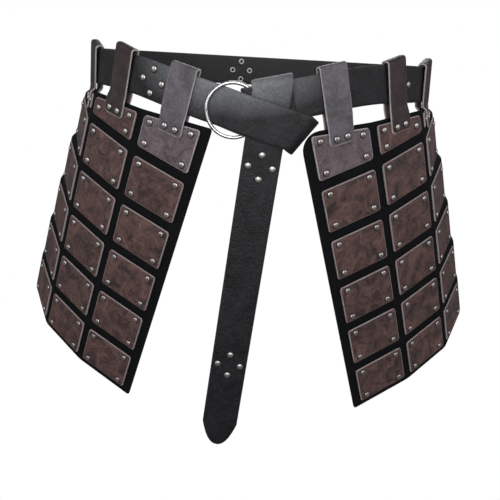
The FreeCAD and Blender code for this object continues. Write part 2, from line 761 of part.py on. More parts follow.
def swing_axis(side):
    """Two points, for the left, on the line that a tasset swings on under the belt."""
    ends = []
    for column in (0, COLUMNS - 1):
        lower = hanger_frame(column)
        upper = belt_crossing(lower, side)[0]
        ends.append((lower.multVec(Vector(0, HANGER_RISE, 0)) + upper.multVec(Vector())) / 2)
    return ends


def main():
    os.makedirs("parts", exist_ok=True)

    wire = put(Part.makePolygon(many_sided(WIRE_SIDES, RING_WIRE, 0)), frame(X * WIRE_CIRCLE, X, Y))
    ring = Part.Face(wire).revolve(Vector(0, 0, 0), Y, 360)
    save("belt_ring", put(ring, frame(Vector(RING_X, RING_Y, RING_Z), X, Y)))

    belt_rivets = loop_diamonds()
    eye_grip = 2 * BELT_THICK + EYE_SEAM
    eye_frame = frame(Vector(RING_X, FACE - EYE_SEAM - BELT_THICK, RING_Z),
                      heading(RIGHT_DIP), heading(RIGHT_DIP + 90))
    for side in (-1, 1):
        spot = Vector(EYE_RIVET_AT, side * EYE_RIVET_HALF, 0)
        belt_rivets.append(put(put(rivet(eye_grip), frame(spot, X, Y)), eye_frame))
    save("belt_strap", belt_strap())
    save("belt_rivets", *belt_rivets)

    tail_rivets = []
    for along in TAIL_DIAMONDS:
        spot = frame(Vector(0, -along, BELT_THICK / 2), X, Y)
        tail_rivets += diamond(tail_frame().multiply(spot), BELT_THICK)
    save("belt_tail", put(belt_tail(), tail_frame()))
    save("tail_rivets", *tail_rivets)

    rivets = []
    plates = {}
    for column in range(COLUMNS):
        for row in range(ROWS):
            matrix = sheet_frame().multiply(column_frame(column, row))
            outline = plate_outline(column, row)
            short = outline[3][1] - outline[0][1] < 2 * PLATE_CORNER
            corner = SHORT_CORNER if short else PLATE_CORNER
            plate = rounded_plate(outline, PLATE_THICK, corner, PLATE_BEVEL)
            plates[column, row] = put(plate, matrix)
            for x, y in plate_rivets(column, row):
                spot = matrix.multiply(frame(Vector(x, y, PLATE_THICK), X, Y))
                rivets.append(put(rivet(PLATE_THICK + BACKING_THICK), spot))
    strap_rivets = [r for column in range(COLUMNS) for r in hanger_rivets(column)]
    sheet = put(backing(), sheet_frame())

    for name, side, turn in (("left", -1, lambda s: s), ("right", 1, mirrored)):
        straps = [hanger(column, side) for column in range(COLUMNS)]
        save("%s_backing" % name, turn(sheet.cut(straps[-1])))
        save("%s_plate_rivets" % name, *[turn(r) for r in rivets])
        save("%s_hanger_rivets" % name, *[turn(r) for r in strap_rivets])
        for (column, row), plate in plates.items():
            save("%s_plate_%d_%d" % (name, column + 1, row + 1), turn(plate))
        for column, strap in enumerate(straps):
            save("%s_hanger_%d" % (name, column + 1), turn(strap))
        print(name, "swings on", [tuple(p) for p in swing_axis(side)])


main()
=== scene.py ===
import bisect
import math

import bpy
from mathutils import Matrix, Vector


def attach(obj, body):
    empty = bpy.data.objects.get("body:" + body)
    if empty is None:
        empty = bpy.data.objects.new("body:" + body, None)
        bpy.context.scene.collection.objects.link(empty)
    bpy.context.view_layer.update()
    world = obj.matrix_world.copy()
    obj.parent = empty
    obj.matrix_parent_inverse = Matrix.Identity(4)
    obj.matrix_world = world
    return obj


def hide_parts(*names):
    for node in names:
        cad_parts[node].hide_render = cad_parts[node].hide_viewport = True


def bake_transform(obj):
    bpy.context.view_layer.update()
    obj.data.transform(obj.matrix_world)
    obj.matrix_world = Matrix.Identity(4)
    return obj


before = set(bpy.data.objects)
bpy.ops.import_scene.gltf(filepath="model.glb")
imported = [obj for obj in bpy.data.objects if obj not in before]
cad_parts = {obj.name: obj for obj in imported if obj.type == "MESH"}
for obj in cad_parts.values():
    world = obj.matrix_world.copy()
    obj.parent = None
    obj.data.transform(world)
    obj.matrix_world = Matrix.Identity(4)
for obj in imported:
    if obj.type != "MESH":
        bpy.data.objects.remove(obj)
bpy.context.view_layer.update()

# Fauld of black and brown leather: a ring belt knotted as round a waist, and two sheets of
# riveted plates hung from it on straps. Lengths are millimetres and turn into metres where
# a mesh is made. Left is the side of -X, as seen from the front.


# Belt. One strap of black leather: its right end is folded back round the ring and riveted,
# and its left end goes up through the ring, over the right side, behind the belt and over
# its top edge. Every point is placed from its length along the strap and its place across.
MM = 0.001
Y = Vector((0, 1, 0))
Z = Vector((0, 0, 1))
BELT_WIDTH = 37.0
BELT_THICK = 2.8
HALF_BELT = BELT_WIDTH / 2

# Waist loop: flat at the front, a bend, a round side, and half an ellipse at the back
LOOP_HALF_WIDTH = 196.0
LOOP_FRONT = 150.5
LOOP_BACK = 151.0
FLAT_HALF = 46.0
FRONT_BEND_RADIUS = 70.0
FRONT_BEND_TURN = math.radians(20)
BEND_STEPS = 24
SIDE_STEPS = 80
BACK_STEPS = 160

# Both ends dip towards the ring
LEFT_DIP = math.radians(15)
RIGHT_DIP = math.radians(13)
DIP_RADIUS = 260.0
RING_X = -22.5
RING_Z = -30.5
RING_OUTER = 54.0
RING_WIRE = 3.6
WIRE_CIRCLE = (RING_OUTER - RING_WIRE) / 2

# Depths of the layers that lie over each other at the knot, from the back to the front
LAYER_GAP = 0.3
SEAM_GAP = 0.15
UNDER_GAP = 1.7
FACE = -LOOP_FRONT
MAIN_Y = FACE + BELT_THICK / 2
UNDER_Y = MAIN_Y + BELT_THICK + UNDER_GAP
SEAM_Y = FACE - SEAM_GAP - BELT_THICK / 2
EYE_HALF = RING_WIRE / 2 + LAYER_GAP
EYE_Y = FACE - 2 * EYE_HALF - BELT_THICK / 2
WRAP_Y = EYE_Y - BELT_THICK - LAYER_GAP
DIAGONAL_Y = WRAP_Y - BELT_THICK - LAYER_GAP


def heading(angle):
    """Unit vector in the front view, from level, in radians."""
    return Vector((math.cos(angle), 0, math.sin(angle)))


def loop_table():
    """Points and outward normals of one half of the waist loop, and their lengths along it."""
    turn = FRONT_BEND_TURN
    bend_x = FLAT_HALF + FRONT_BEND_RADIUS * math.sin(turn)
    side_radius = (LOOP_HALF_WIDTH - bend_x) / (1 - math.sin(turn))
    side_x = LOOP_HALF_WIDTH - side_radius
    side_y = FACE + FRONT_BEND_RADIUS * (1 - math.cos(turn)) + side_radius * math.cos(turn)
    depth = LOOP_BACK - side_y
    rows = [(Vector((0, FACE, 0)), -Y), (Vector((FLAT_HALF, FACE, 0)), -Y)]
    bend_centre = Vector((FLAT_HALF, FACE + FRONT_BEND_RADIUS, 0))
    for i in range(1, BEND_STEPS + 1):
        angle = turn * i / BEND_STEPS
        out = Vector((math.sin(angle), -math.cos(angle), 0))
        rows.append((bend_centre + out * FRONT_BEND_RADIUS, out))
    for i in range(1, SIDE_STEPS + 1):
        angle = turn + (math.pi / 2 - turn) * i / SIDE_STEPS
        out = Vector((math.sin(angle), -math.cos(angle), 0))
        rows.append((Vector((side_x, side_y, 0)) + out * side_radius, out))
    for i in range(1, BACK_STEPS + 1):
        angle = math.pi / 2 * i / BACK_STEPS
        x, y = LOOP_HALF_WIDTH * math.cos(angle), depth * math.sin(angle)
        out = Vector((x / LOOP_HALF_WIDTH ** 2, y / depth ** 2, 0)).normalized()
        rows.append((Vector((x, y + side_y, 0)), out))
    lengths = [0.0]
    for (a, _), (b, _) in zip(rows, rows[1:]):
        lengths.append(lengths[-1] + (b - a).length)
    return rows, lengths


LOOP_ROWS, LOOP_LENGTHS = loop_table()
HALF_LOOP = LOOP_LENGTHS[-1]


def loop_at(length):
    """Point and outward normal of the belt's outer face, by length from the front's middle."""
    if abs(length) > HALF_LOOP:
        length -= math.copysign(2 * HALF_LOOP, length)
    side = math.copysign(1, length)
    length = abs(length)
    first = min(bisect.bisect_right(LOOP_LENGTHS, length) - 1, len(LOOP_LENGTHS) - 2)
    share = (length - LOOP_LENGTHS[first]) / (LOOP_LENGTHS[first + 1] - LOOP_LENGTHS[first])
    point = LOOP_ROWS[first][0].lerp(LOOP_ROWS[first + 1][0], share)
    out = LOOP_ROWS[first][1].lerp(LOOP_ROWS[first + 1][1], share).normalized()
    return Vector((point.x * side, point.y, 0)), Vector((out.x * side, out.y, 0))


def belt_height(x, y=-1.0):
    """Height of the belt's middle, and its slope. Only the front half dips."""
    if y > 0:
        return 0.0, 0.0
    side = math.copysign(1, x)
    dip = LEFT_DIP if x < 0 else RIGHT_DIP
    inward = side * RING_X - RING_Z / math.tan(dip) - abs(x)
    reach = DIP_RADIUS * math.tan(dip / 2)
    if inward < -reach:
        return 0.0, 0.0
    if inward < reach * math.cos(dip):
        run = inward + reach
        fall = math.sqrt(DIP_RADIUS ** 2 - run ** 2)
        return fall - DIP_RADIUS, side * run / fall
    return -inward * math.tan(dip), side * math.tan(dip)


def on_loop(length, across):
    """Place on the belt's middle layer, by length round the waist and height in the strap."""
    point, out = loop_at(length)
    height, slope = belt_height(point.x, point.y)
    tilt = math.atan(slope * Z.cross(out).x)
    shifted, shifted_out = loop_at(length - across * math.sin(tilt))
    place = shifted - shifted_out * (BELT_THICK / 2)
    place.z = height + across * math.cos(tilt)
    return place


def smooth(value):
    """Share from 0 to 1 that starts and ends gently."""
    value = min(max(value, 0.0), 1.0)
    return value * value * (3 - 2 * value)


# Left end: lengths from the ring's centre to its folds, and from the upper fold to the tail
RAMP_START = -15.0
RAMP_END = 12.5
LOWER_FOLD_AT = 63.5
BETWEEN_FOLDS = 48.0
UNDER_TURN = math.radians(122)
TAIL_LEAN = math.radians(5.6)
TAIL_JOINT_DROP = 60.5
FULLY_UNDER = 0.01          # only what is this near its depth goes on to the upper fold
RING_CENTRE = Vector((RING_X, 0, RING_Z))
LOWER = RING_CENTRE + heading(-LEFT_DIP) * LOWER_FOLD_AT
UPPER = LOWER + heading(UNDER_TURN) * BETWEEN_FOLDS
TAIL_JOINT = UPPER + heading(-math.pi / 2 - TAIL_LEAN) * TAIL_JOINT_DROP
LOWER_ANGLE = (UNDER_TURN - LEFT_DIP) / 2
UPPER_ANGLE = (UNDER_TURN - math.pi / 2 - TAIL_LEAN) / 2
LOWER_RADIUS = (UNDER_Y - DIAGONAL_Y) / 2
UPPER_RADIUS = (UNDER_Y - WRAP_Y) / 2


def folded(point, at, axis, way, radius, start_y, end_y):
    """A strap's point led half round a slanted axis, if it lies past it."""
    out = axis.cross(Y)
    if out.dot(way) < 0:
        out.negate()
    offset = Vector((point.x - at.x, 0, point.z - at.z))
    past = offset.dot(out)
    if past <= 0:
        return point
    along = offset.dot(axis) - min(past, math.pi * radius) * way.dot(axis) / way.dot(out)
    middle_y = (start_y + end_y) / 2
    if past < math.pi * radius:
        turn = past / radius
        beyond = radius * math.sin(turn)
        y = middle_y + (start_y - middle_y) * math.cos(turn)
    else:
        beyond = math.pi * radius - past
        y = end_y
    place = Vector((at.x, 0, at.z)) + axis * along + out * beyond
    return Vector((place.x, y, place.z))


def on_knot(length, across):
    """Place on the strap's left end, by length from the ring's centre."""
    place = RING_CENTRE + heading(-LEFT_DIP) * length + heading(math.pi / 2 - LEFT_DIP) * across
    rise = smooth((length - RAMP_START) / (RAMP_END - RAMP_START))
    place.y = MAIN_Y + (DIAGONAL_Y - MAIN_Y) * rise
    place = folded(place, LOWER, heading(LOWER_ANGLE), heading(-LEFT_DIP), LOWER_RADIUS,
                   DIAGONAL_Y, UNDER_Y)
    if place.y > UNDER_Y - FULLY_UNDER:
        place = folded(place, UPPER, heading(UPPER_ANGLE), heading(UNDER_TURN), UPPER_RADIUS,
                       UNDER_Y, WRAP_Y)
    return place


# Right end: lengths from the ring's centre to where it turns back and to its cut end
EYE_TIP = 15.0
EYE_END = 58.0
EYE_SLOPE_RUN = 8.0
EYE_RADIUS = (MAIN_Y - EYE_Y) / 2
EYE_ARC = math.pi * EYE_RADIUS


def on_eye(length, across):
    """Place on the strap's right end, by length from where it turns back round the ring."""
    if length < 0:
        along, y = EYE_TIP - length, MAIN_Y
    elif length < EYE_ARC:
        turn = length / EYE_RADIUS
        along = EYE_TIP - EYE_RADIUS * math.sin(turn)
        y = MAIN_Y - EYE_RADIUS * (1 - math.cos(turn))
    else:
        along = EYE_TIP + length - EYE_ARC
        pressed_down = smooth((along - WIRE_CIRCLE - RING_WIRE) / EYE_SLOPE_RUN)
        y = EYE_Y + (SEAM_Y - EYE_Y) * pressed_down
    place = RING_CENTRE + heading(RIGHT_DIP) * along + heading(math.pi / 2 + RIGHT_DIP) * across
    place.y = y
    return place


# The three stretches join where the straight ends meet the loop
JOIN_LEFT = 20.0
JOIN_RIGHT = 56.0
LEFT_JOIN = RING_X - JOIN_LEFT * math.cos(LEFT_DIP)
RIGHT_JOIN = RING_X + JOIN_RIGHT * math.cos(RIGHT_DIP)
ROUND_WAIST = 2 * HALF_LOOP - (RIGHT_JOIN - LEFT_JOIN)


def on_belt(length, across):
    """The whole strap in one length: negative from the left join on, then round the waist."""
    if length < 0:
        return on_knot(-length - JOIN_LEFT, -across)
    if length < ROUND_WAIST:
        return on_loop(LEFT_JOIN - length, -across)
    return on_eye(length - ROUND_WAIST - (JOIN_RIGHT - EYE_TIP), -across)


def spaced(start, end, step):
    """Even stations from start to end, about a step apart."""
    count = max(1, math.ceil(abs(end - start) / step))
    return [start + (end - start) * i / count for i in range(count + 1)]


def with_ends(start, end, gaps, step):
    """Stations from start to end, placed by gaps near both ends and even between."""
    even = spaced(start + gaps[-1], end - gaps[-1], step)[1:-1]
    return [start + gap for gap in gaps] + even + [end - gap for gap in reversed(gaps)]


def added(name, data):
    """A new object in the scene."""
    obj = bpy.data.objects.new(name, data)
    bpy.context.scene.collection.objects.link(obj)
    return obj


def shaped(name, verts, faces):
    """A new object of a smoothly shaded mesh."""
    mesh = bpy.data.meshes.new(name)
    mesh.from_pydata(verts, [], faces)
    mesh.polygons.foreach_set("use_smooth", [True] * len(mesh.polygons))
    return added(name, mesh)


def strip(name, place, stations, widths, thick, edge=0.35, across=6, lift=None):
    """Closed sheet of leather with rounded borders.

    place(length, across) gives its middle layer and widths(length) its two borders. edge is
    the share of the thickness that a border's rounding takes, and lift raises the grain side.
    Attributes hold the distance to the border and which face a point is on.
    """
    rounding = thick * edge
    probe = 0.25
    uv_unit = 100
    verts, borders, grain_sides, uvs = [], [], [], []
    for station in stations:
        start, end = widths(station)
        end_gap = min(station - stations[0], stations[-1] - station)
        inset = rounding * (1 - smooth(end_gap / rounding)) / 2
        inner_start, inner_end = start + rounding, end - rounding
        inner = [inner_start + (inner_end - inner_start) * i / across for i in range(across + 1)]
        section = [(t, 0.5, 1.0) for t in inner]
        section += [(end, 0.5 - edge, 0.7), (end, edge - 0.5, 0.3)]
        section += [(t, -0.5, 0.0) for t in reversed(inner)]
        section += [(start, edge - 0.5, 0.3), (start, 0.5 - edge, 0.7)]
        for t, layer, grain_side in section:
            along = place(station + probe, t) - place(station - probe, t)
            over = place(station, t + probe) - place(station, t - probe)
            height = layer * (thick - 2 * inset)
            if lift and grain_side > 0.5:
                height += lift(station, t)
            verts.append((place(station, t) + along.cross(over).normalized() * height) * MM)
            borders.append(min(t - start, end - t, end_gap))
            grain_sides.append(grain_side)
            uvs.append((station / uv_unit, t / uv_unit))
    ring = len(section)
    last = (len(stations) - 1) * ring
    faces = []
    for row in range(0, last, ring):
        for j in range(ring):
            a, b = row + j, row + (j + 1) % ring
            faces.append((a, a + ring, b + ring, b))
    for base, at_end in ((0, False), (last, True)):
        inner_back = 2 * across + 3
        cap = [(j, j + 1, inner_back - j - 1, inner_back - j) for j in range(across)]
        cap.append((across, across + 1, across + 2, across + 3))
        cap.append((ring - 1, 0, inner_back, ring - 2))
        for quad in cap:
            quad = [base + j for j in quad]
            faces.append(quad[::-1] if at_end else quad)
    obj = shaped(name, verts, faces)
    mesh = obj.data
    for label, values in (("border_mm", borders), ("grain_side", grain_sides)):
        mesh.attributes.new(label, "FLOAT", "POINT").data.foreach_set("value", values)
    strap_uv = mesh.uv_layers.new(name="strap")
    for loop in mesh.loops:
        strap_uv.data[loop.index].uv = uvs[loop.vertex_index]
    mesh.validate()
    obj.modifiers.new("flat faces", "WEIGHTED_NORMAL").keep_sharp = True
    return obj


def colour(hex_code):
    """Linear colour of an sRGB hex code."""
    parts = [int(hex_code[i:i + 2], 16) / 255 for i in (1, 3, 5)]
    linear = [p / 12.92 if p <= 0.04045 else ((p + 0.055) / 1.055) ** 2.4 for p in parts]
    return (*linear, 1)


def node(tree, kind, inputs=None, **settings):
    """Adds a node with its settings. An input is a value, or the node or socket feeding it."""
    made = tree.nodes.new(kind)
    for key, value in settings.items():
        setattr(made, key, value)
    for key, value in (inputs or {}).items():
        if isinstance(value, bpy.types.Node):
            value = next(socket for socket in value.outputs if socket.enabled)
        if isinstance(value, bpy.types.NodeSocket):
            tree.links.new(value, made.inputs[key])
        else:
            made.inputs[key].default_value = value
    return made


def empty_material(name):
    """A new material and its emptied tree."""
    material = bpy.data.materials.new(name)
    material.use_nodes = True
    material.node_tree.nodes.clear()
    return material, material.node_tree


# Leather's patterns: patches where the dye took unevenly, and the creases of the hide, which
# are drawn coarser than the real grain so that they show
DYE_PATCH = 23.8095
CREASE_SIZE = 2.38095
CREASE_DEPTH = 1.1
# Pale rim along the borders: wear, and on the plates also a painted highlight of the bevel
# catching light
PALE_RIM_FROM = 1.5
PALE_RIM_TO = 2.2
PALE_RIM_UNEVEN = 2.4

# Round the ring, the belt is painted grey as the sheen of the lamp in front. The height counts for
# more than the width.
PAINTED_SHEEN_GREY = "#67686c"
PAINTED_SHEEN_FROM = 35.0
PAINTED_SHEEN_TO = 98.0
PAINTED_SHEEN_STRETCH = (1.0, 0.0, 2.2)


def leather(name, dark, light, rim_wear_and_highlight, inside, roughness, rim_strength, patch=DYE_PATCH, shine=0.4,
            sheen_centre=None):
    """Dyed leather: mottled between two tones, creased, and pale along its borders as wear and as
    a painted highlight of the bevelled rims.

    inside is the flesh side's colour, and the argument after roughness the strength of the pale
    border. The last argument is the middle of a painted sheen, where the leather is painted grey.
    """
    material, tree = empty_material(name)
    spot = node(tree, "ShaderNodeTexCoord").outputs["Object"]
    clouds = node(tree, "ShaderNodeTexNoise", {
        "Vector": spot, "Scale": 1 / (patch * MM), "Detail": 8.0, "Roughness": 0.7,
        "Distortion": 0.8})
    grain = node(tree, "ShaderNodeTexNoise", {
        "Vector": spot, "Scale": 1 / (CREASE_SIZE * MM), "Detail": 4.0, "Roughness": 0.7,
        "Distortion": 0.5})
    mottle = node(tree, "ShaderNodeMapRange", {
        "Value": clouds, "From Min": 0.38, "From Max": 0.64})
    tones = node(tree, "ShaderNodeMix", {0: mottle, 6: colour(dark), 7: colour(light)},
                 data_type="RGBA")
    creases = node(tree, "ShaderNodeMapRange", {
        "Value": grain, "From Min": 0.35, "From Max": 0.68, "To Min": 0.72, "To Max": 1.25})
    dyed = node(tree, "ShaderNodeVectorMath", {0: tones, "Scale": creases}, operation="SCALE")
    # Painted sheen: near the given point the colour turns grey, standing in for the lamp's
    # reflection
    if sheen_centre:
        offset = node(tree, "ShaderNodeVectorMath", {0: spot, 1: sheen_centre}, operation="SUBTRACT")
        stretched = node(tree, "ShaderNodeVectorMath", {0: offset, 1: PAINTED_SHEEN_STRETCH},
                         operation="MULTIPLY")
        distance = node(tree, "ShaderNodeVectorMath", {0: stretched}, operation="LENGTH")
        share = node(tree, "ShaderNodeMapRange", {
            "Value": distance, "From Min": PAINTED_SHEEN_FROM * MM, "From Max": PAINTED_SHEEN_TO * MM,
            "To Min": 0.95, "To Max": 0.0})
        grey = node(tree, "ShaderNodeVectorMath", {0: colour(PAINTED_SHEEN_GREY)[:3], "Scale": creases},
                    operation="SCALE")
        dyed = node(tree, "ShaderNodeMix", {0: share, 4: dyed, 5: grey}, data_type="VECTOR")
    # Pale rim by the border: wear, and on the plates also a painted highlight of the bevel
    border = node(tree, "ShaderNodeAttribute", attribute_name="border_mm").outputs["Fac"]
    uneven = node(tree, "ShaderNodeMath", {0: clouds, 1: PALE_RIM_UNEVEN}, operation="MULTIPLY")
    ragged = node(tree, "ShaderNodeMath", {0: border, 1: uneven}, operation="ADD")
    pale_rim = node(tree, "ShaderNodeMapRange", {
        "Value": ragged, "From Min": PALE_RIM_FROM, "From Max": PALE_RIM_TO, "To Min": rim_strength, "To Max": 0.0})
    outside = node(tree, "ShaderNodeMix", {0: pale_rim, 6: dyed, 7: colour(rim_wear_and_highlight)},
                   data_type="RGBA")
    side = node(tree, "ShaderNodeAttribute", attribute_name="grain_side").outputs["Fac"]
    is_outside = node(tree, "ShaderNodeMapRange", {
        "Value": side, "From Min": 0.02, "From Max": 0.2})
    faces = node(tree, "ShaderNodeMix", {0: is_outside, 6: colour(inside), 7: outside},
                 data_type="RGBA")
    relief = node(tree, "ShaderNodeMath", {0: grain, 1: clouds}, operation="ADD")
    bump = node(tree, "ShaderNodeBump", {
        "Strength": 0.7, "Distance": CREASE_DEPTH * MM, "Height": relief})
    shader = node(tree, "ShaderNodeBsdfPrincipled", {
        "Base Color": faces, "Roughness": roughness, "Specular IOR Level": shine,
        "Normal": bump})
    node(tree, "ShaderNodeOutputMaterial", {"Surface": shader})
    return material


# Black drum-dyed leather: nearly black with a soft sheen, and a painted grey sheen round the ring
BELT_LEATHER = leather("black belt leather", "#0a0b0e", "#1a1b1e", "#38393b", "#191a1c", 0.46, 0.4,
                       shine=0.3, sheen_centre=((RING_X - 2) * MM, 0, 6 * MM))

# The belt ends a little above the tail's joint, where the tail's own strip goes on
SPLIT = 14.0
KNOT_STEP = 1.6
WAIST_STEP = 5.0
EYE_STEP = 1.2
KNOT_END = (LOWER_FOLD_AT + math.pi * (LOWER_RADIUS / math.sin(LOWER_ANGLE + LEFT_DIP)
                                       + UPPER_RADIUS / math.sin(UNDER_TURN - UPPER_ANGLE))
            + BETWEEN_FOLDS + TAIL_JOINT_DROP - SPLIT)
STRAP_END = ROUND_WAIST + JOIN_RIGHT - EYE_TIP + EYE_ARC + EYE_END - EYE_TIP
belt_stations = (spaced(-KNOT_END - JOIN_LEFT, 0, KNOT_STEP)[:-1]
                 + spaced(0, ROUND_WAIST, WAIST_STEP)[:-1]
                 + spaced(ROUND_WAIST, STRAP_END, EYE_STEP))
belt = strip("belt", on_belt, belt_stations, lambda length: (-HALF_BELT, HALF_BELT), BELT_THICK,
             across=14)
belt.data.materials.append(BELT_LEATHER)
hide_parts("belt_strap")
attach(belt, "belt")


# Tail. The strap's free end with its rounded point, of the same black leather.
# It starts above the joint, behind the diagonal.
TAIL_LENGTH = 322.0
TAIL_POINT = 27.0
POINT_BULGE = 0.42
POINT_STEPS = 18
TIP_LEAST = 0.02
TAIL_STEP = 4.0
BEND_BELOW_JOINT = 8.0


def on_tail(length, across):
    """Place on the tail's middle layer, by length from its joint."""
    down = heading(-math.pi / 2 - TAIL_LEAN)
    place = TAIL_JOINT + down * length + heading(-TAIL_LEAN) * across
    place.y = WRAP_Y
    return place


def tail_widths(length):
    """The tail's borders, drawn in round the point."""
    left = max(TAIL_LENGTH - length, TIP_LEAST)
    half = HALF_BELT * min(1.0, left / TAIL_POINT) ** POINT_BULGE
    return -half, half


point_stations = [TAIL_LENGTH - TAIL_POINT * (1 - i / POINT_STEPS) ** 2
                  for i in range(POINT_STEPS + 1)]
tail_stations = spaced(-SPLIT, TAIL_LENGTH - TAIL_POINT, TAIL_STEP)[:-1] + point_stations
tail = strip("tail", on_tail, tail_stations, tail_widths, BELT_THICK, across=10)
tail.data.materials.append(BELT_LEATHER)
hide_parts("belt_tail")
on_tail(-SPLIT, 0) * MM
on_tail(BEND_BELOW_JOINT, 0) * MM
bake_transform(tail)


# Ring. Round wire bent to a ring, nickel-plated and polished.
# A torus about an axis square to the belt's face, standing in the eye of the belt.
WIRE_STEPS = 32
RING_STEPS = 180
TARNISH_PATCH = 3.84615     # about half a rivet's cap across


def metal(name, tone, roughness, tarnish):
    """Plated metal, a little darker where small clouds say it is tarnished."""
    material, tree = empty_material(name)
    spot = node(tree, "ShaderNodeTexCoord").outputs["Object"]
    clouds = node(tree, "ShaderNodeTexNoise", {
        "Vector": spot, "Scale": 1 / (TARNISH_PATCH * MM), "Detail": 3.0})
    tones = node(tree, "ShaderNodeMix", {0: clouds, 6: colour(tarnish), 7: colour(tone)},
                 data_type="RGBA")
    shader = node(tree, "ShaderNodeBsdfPrincipled", {
        "Base Color": tones, "Metallic": 1.0, "Roughness": roughness})
    node(tree, "ShaderNodeOutputMaterial", {"Surface": shader})
    return material


def turned(name, profile, segments, closed):
    """Mesh of a profile of (radius, height) points turned about Z."""
    verts = []
    for i in range(segments):
        angle = 2 * math.pi * i / segments
        verts += [Vector((math.cos(angle) * r, math.sin(angle) * r, z)) * MM for r, z in profile]
    size = len(profile)
    faces = []
    for i in range(segments):
        here, after = i * size, (i + 1) % segments * size
        for j in range(size if closed else size - 1):
            k = (j + 1) % size
            faces.append((here + j, after + j, after + k, here + k))
    return shaped(name, verts, faces)


wire = []
for i in range(WIRE_STEPS):
    angle = 2 * math.pi * i / WIRE_STEPS
    wire.append((WIRE_CIRCLE + RING_WIRE / 2 * math.cos(angle), RING_WIRE / 2 * math.sin(angle)))
ring = turned("ring", wire, RING_STEPS, True)
ring_place = Matrix.Translation(Vector((RING_X, FACE - EYE_HALF, RING_Z)) * MM)
ring.data.transform(ring_place @ Matrix.Rotation(math.pi / 2, 4, "X"))

# Polished nickel: bright, with sharp dark and light bands along the wire
ring.data.materials.append(metal("polished nickel", "#cfcfd2", 0.24, "#c6c6ca"))
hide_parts("belt_ring")
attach(ring, "ring")


# Backing sheets. One piece of matt black leather behind each tasset, flat behind the plates
# and bent in the gaps between their columns. A strip from its rear edge to its front edge,
# with the foot and the sloped top edge as its borders.
X = Vector((1, 0, 0))
ROWS = 6
COLUMNS = 3
ORIGIN_ROW = ROWS // 2
ROW_PITCH = 58.0
PLATE_WIDTH = 64.0
HALF_PLATE = PLATE_WIDTH / 2
PLATE_HEIGHT = 47.0
PLATE_THICK = 2.4
COLUMN_GAP = 10.2
COLUMN_PITCH = PLATE_WIDTH + COLUMN_GAP
MIDDLE_BEND = math.radians(12.1)
REAR_BENDS = [math.radians(bend) for bend in (37.0, 31.5, 27.5, 25.0, 23.0, 22.0)]
BACKING_THICK = 2.6
SIDE_MARGIN = 10.0
FOOT_MARGIN = 7.5
TOP_SLOPE = math.tan(math.radians(11.6))
REAR_TOP_SLOPE = math.tan(math.radians(16))
TOP_OVER_ROW = 20.6
SHARP_CORNER = 3.0
FOOT_CORNER = 9.0
KNOT_CORNER = 22.0          # the right sheet's front corner gives way to the knot's fold

# Where the front column stands in the whole: how it faces, tilts and leans
SHEET_ORIGIN = Vector((-132.0, -99.3, -225.1))
SHEET_FACING = math.radians(27.2)
SHEET_TILT = math.radians(3.9)
SHEET_LEAN = math.radians(19.7)


def placed(origin, x_axis, y_axis):
    """Matrix that carries local X and Y onto two square unit vectors at a point."""
    z_axis = x_axis.cross(y_axis)
    turn = Matrix((x_axis, y_axis, z_axis)).transposed().to_4x4()
    return Matrix.Translation(origin) @ turn


def sheet_frame():
    """Frame on the front column: X towards the front's middle, Y up it, Z outwards."""
    level_part = math.cos(SHEET_TILT)
    out = Vector((-math.sin(SHEET_FACING) * level_part, -math.cos(SHEET_FACING) * level_part,
                  -math.sin(SHEET_TILT)))
    steep = (Z - out * Z.dot(out)).normalized()
    flat = steep.cross(out)
    along = flat * math.cos(SHEET_LEAN) - steep * math.sin(SHEET_LEAN)
    return placed(SHEET_ORIGIN, along, steep * math.cos(SHEET_LEAN) + flat * math.sin(SHEET_LEAN))


SHEET = sheet_frame()


def row_middle(row):
    """Height of a row's middle over the sheet's origin."""
    return (ORIGIN_ROW - row) * ROW_PITCH


TOP_HEIGHT = row_middle(0) + TOP_OVER_ROW


def rearward(turn):
    """Way along the section towards the rear, once the sheet has turned by an angle."""
    return Vector((-math.cos(turn), 0, -math.sin(turn)))


def along_section(distance, rear_bend):
    """Point of the sheet's outer face and the angle turned, from the front plate's middle."""
    place, turn = Vector((0, 0, 0)), 0.0
    left = distance
    for flat_length, bend in ((HALF_PLATE, MIDDLE_BEND), (PLATE_WIDTH, rear_bend)):
        step = min(left, flat_length)
        place += rearward(turn) * step
        left -= step
        if left <= 0:
            return place, turn
        part = min(left, COLUMN_GAP) / COLUMN_GAP * bend
        chord = 2 * COLUMN_GAP / bend * math.sin(part / 2)
        place += rearward(turn + part / 2) * chord
        turn += part
        left -= min(left, COLUMN_GAP)
    return place + rearward(turn) * left, turn


def column_frame(column, row):
    """Frame of a plate's middle, relative to the sheet's frame."""
    place, turn = along_section(column * COLUMN_PITCH, REAR_BENDS[row])
    place.y = row_middle(row)
    return placed(place, -rearward(turn), Y)


def rear_bend_at(height):
    """The rear bend holds over a plate's height and changes in the gap between two rows."""
    gap = ROW_PITCH - PLATE_HEIGHT
    for row in range(ROWS):
        foot = row_middle(row) - PLATE_HEIGHT / 2
        if height >= foot:
            return REAR_BENDS[row]
        if row < ROWS - 1 and height > foot - gap:
            share = smooth((foot - height) / gap)
            return REAR_BENDS[row] * (1 - share) + REAR_BENDS[row + 1] * share
    return REAR_BENDS[-1]


def top_edge(column):
    """Height of the sheet's top edge over its origin at a column, and its slope there."""
    if column == COLUMNS - 1:
        start = column_frame(column, 0) @ (X * HALF_PLATE)
        fall = REAR_TOP_SLOPE * HALF_PLATE
        return TOP_HEIGHT + TOP_SLOPE * start.x - fall, REAR_TOP_SLOPE
    place, turn = along_section(column * COLUMN_PITCH, REAR_BENDS[0])
    return TOP_HEIGHT + TOP_SLOPE * place.x, TOP_SLOPE * math.cos(turn)


